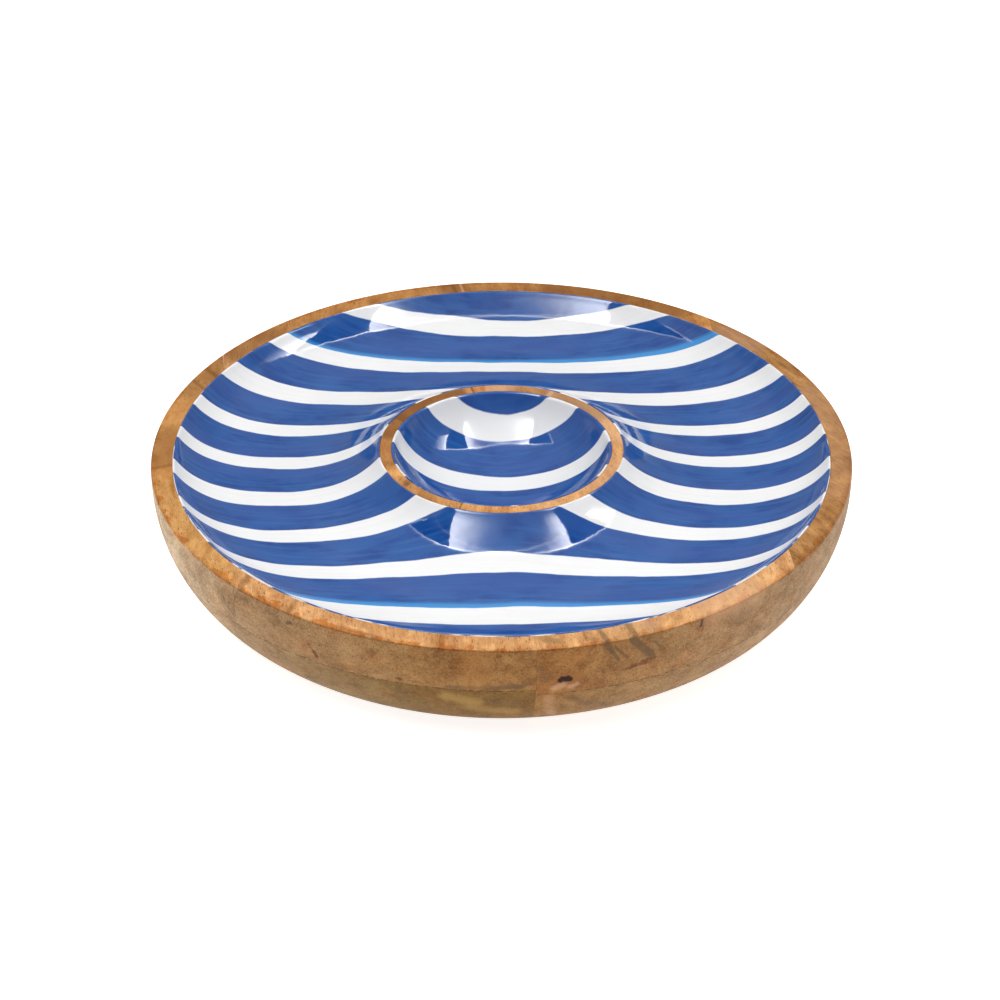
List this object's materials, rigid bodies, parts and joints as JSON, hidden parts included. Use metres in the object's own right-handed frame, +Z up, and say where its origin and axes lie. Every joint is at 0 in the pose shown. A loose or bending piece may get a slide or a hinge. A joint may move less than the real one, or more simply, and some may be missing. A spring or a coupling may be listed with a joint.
{
  "type": "chip and dip server",
  "caption": "Round turned wooden chip and dip server with a ring-shaped trough and a central dip bowl, both lined with striped glossy resin.",
  "frame": {"origin": "centre of the flat base, on the surface the server stands on", "axes": "+Z up along the axis of the turning, -Y towards the front, +X to the right; the stripes run along X"},
  "size_m": [0.356, 0.356, 0.0635],
  "materials": {
    "wood_upper_left_edge": "oiled, satin",
    "wood_upper_left": "oiled, satin",
    "wood_upper_right": "oiled, satin",
    "wood_upper_right_edge": "oiled, satin",
    "wood_lower_left_edge": "oiled, satin",
    "wood_lower_left": "oiled, satin",
    "wood_lower_right": "oiled, satin",
    "wood_lower_right_edge": "oiled, satin",
    "striped_resin_trough": "glossy, blue with white stripes",
    "striped_resin_bowl": "glossy, blue with white stripes"
  },
  "bodies": {
    "root": {"upper_left_edge_board": "wood_upper_left_edge", "upper_left_board": "wood_upper_left", "upper_right_board": "wood_upper_right", "upper_right_edge_board": "wood_upper_right_edge", "lower_left_edge_board": "wood_lower_left_edge", "lower_left_board": "wood_lower_left", "lower_right_board": "wood_lower_right", "lower_right_edge_board": "wood_lower_right_edge", "trough_coat": "striped_resin_trough", "bowl_coat": "striped_resin_bowl"}
  },
  "joints": []
}
